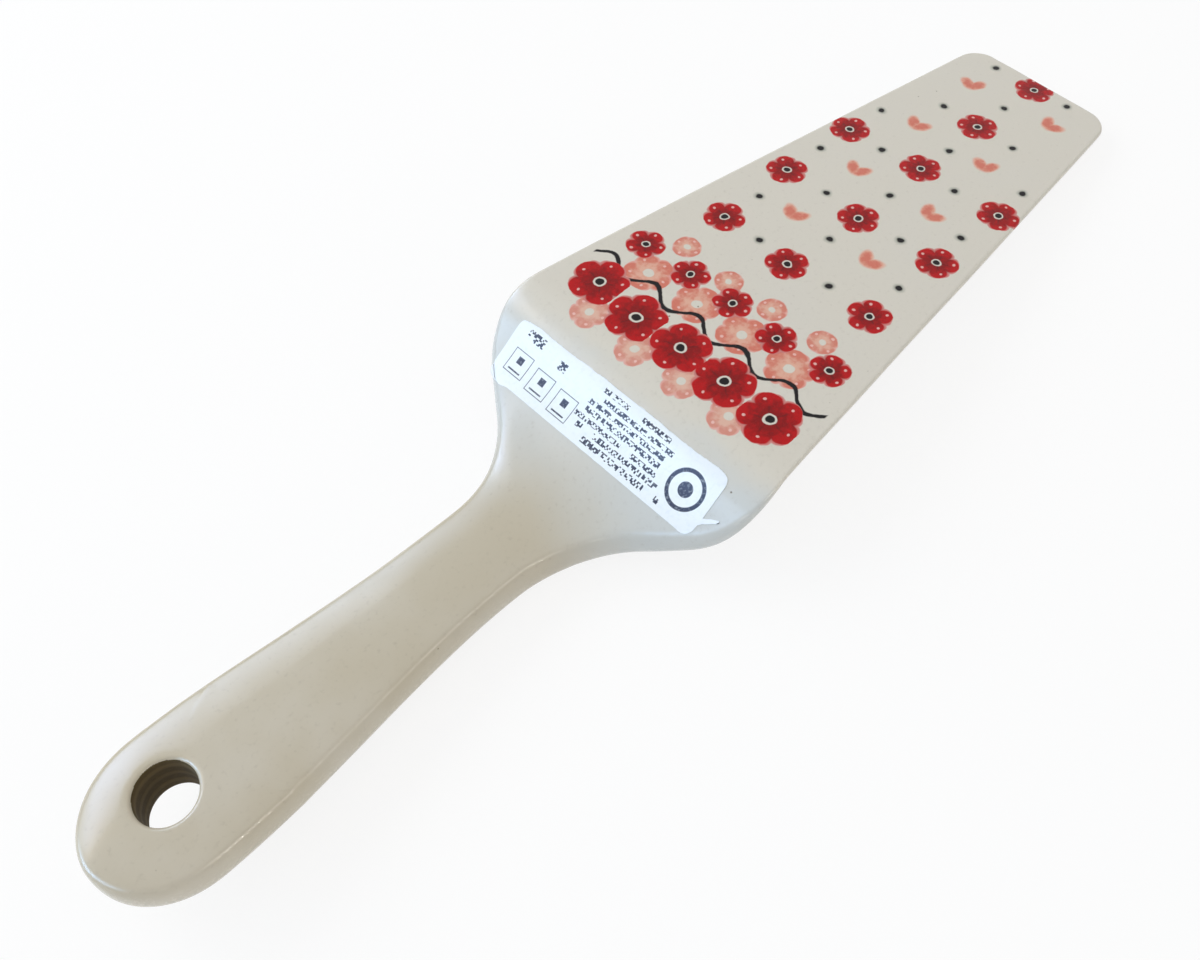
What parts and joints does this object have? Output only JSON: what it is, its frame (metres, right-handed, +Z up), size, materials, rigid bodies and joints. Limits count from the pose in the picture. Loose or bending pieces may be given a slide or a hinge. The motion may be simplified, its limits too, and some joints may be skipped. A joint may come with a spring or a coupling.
{
  "type": "pie server",
  "caption": "One-piece glazed stoneware pie server: a tapering flat blade, a ramp down to a rounded grip with a hanging hole, and a blank paper label stuck across the ramp.",
  "frame": {"origin": "centre of the bounding box at its base, on the surface that the server lies on", "axes": "+X along the server from the holed end of the grip to the tip of the blade, +Y across the blade, +Z up as it lies"},
  "size_m": [0.2512, 0.0676, 0.0202],
  "materials": {
    "glaze": "gloss",
    "label_paper": "matte"
  },
  "bodies": {
    "root": {"stoneware_server": "glaze", "paper_label": "label_paper"}
  },
  "joints": []
}
